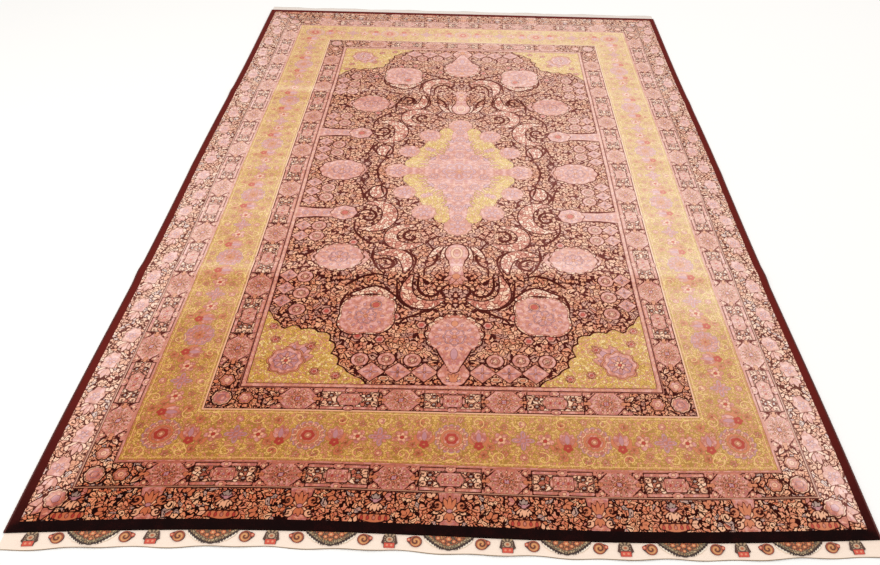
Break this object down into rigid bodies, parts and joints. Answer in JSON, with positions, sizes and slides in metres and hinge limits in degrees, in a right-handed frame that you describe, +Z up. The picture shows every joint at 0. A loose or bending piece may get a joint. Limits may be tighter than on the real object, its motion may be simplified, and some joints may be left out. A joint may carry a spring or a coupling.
{
  "type": "persian rug",
  "caption": "Hand-knotted medallion rug laid flat, with nested floral borders, overcast sides and narrow flat-woven ends.",
  "frame": {"origin": "on the floor, under the middle of the rug", "axes": "+Z up through the pile, +Y along the rug's length away from the near end, +X across its width"},
  "size_m": [2.005, 3.0799, 0.01],
  "materials": {
    "pile": "fine silk pile with a soft directional sheen",
    "overcast_side": "matte overcast yarn",
    "woven_end": "matte flat weave",
    "arch_pile": "fine silk pile",
    "curl_pile": "fine silk pile",
    "vase_pile": "fine silk pile"
  },
  "bodies": {
    "root": {"pile": "pile", "overcast_side_left": "overcast_side", "overcast_side_right": "overcast_side", "woven_end_near": "woven_end", "woven_end_far": "woven_end", "arch_1": "arch_pile", "curl_1_left": "curl_pile", "curl_1_right": "curl_pile", "arch_2": "arch_pile", "curl_2_left": "curl_pile", "curl_2_right": "curl_pile", "arch_3": "arch_pile", "curl_3_left": "curl_pile", "curl_3_right": "curl_pile", "arch_4": "arch_pile", "curl_4_left": "curl_pile", "curl_4_right": "curl_pile", "arch_5": "arch_pile", "curl_5_left": "curl_pile", "curl_5_right": "curl_pile", "arch_6": "arch_pile", "curl_6_left": "curl_pile", "curl_6_right": "curl_pile", "arch_7": "arch_pile", "curl_7_left": "curl_pile", "curl_7_right": "curl_pile", "vase_1": "vase_pile", "vase_2": "vase_pile", "vase_3": "vase_pile", "vase_4": "vase_pile", "vase_5": "vase_pile", "vase_6": "vase_pile", "vase_7": "vase_pile", "vase_8": "vase_pile"}
  },
  "joints": []
}
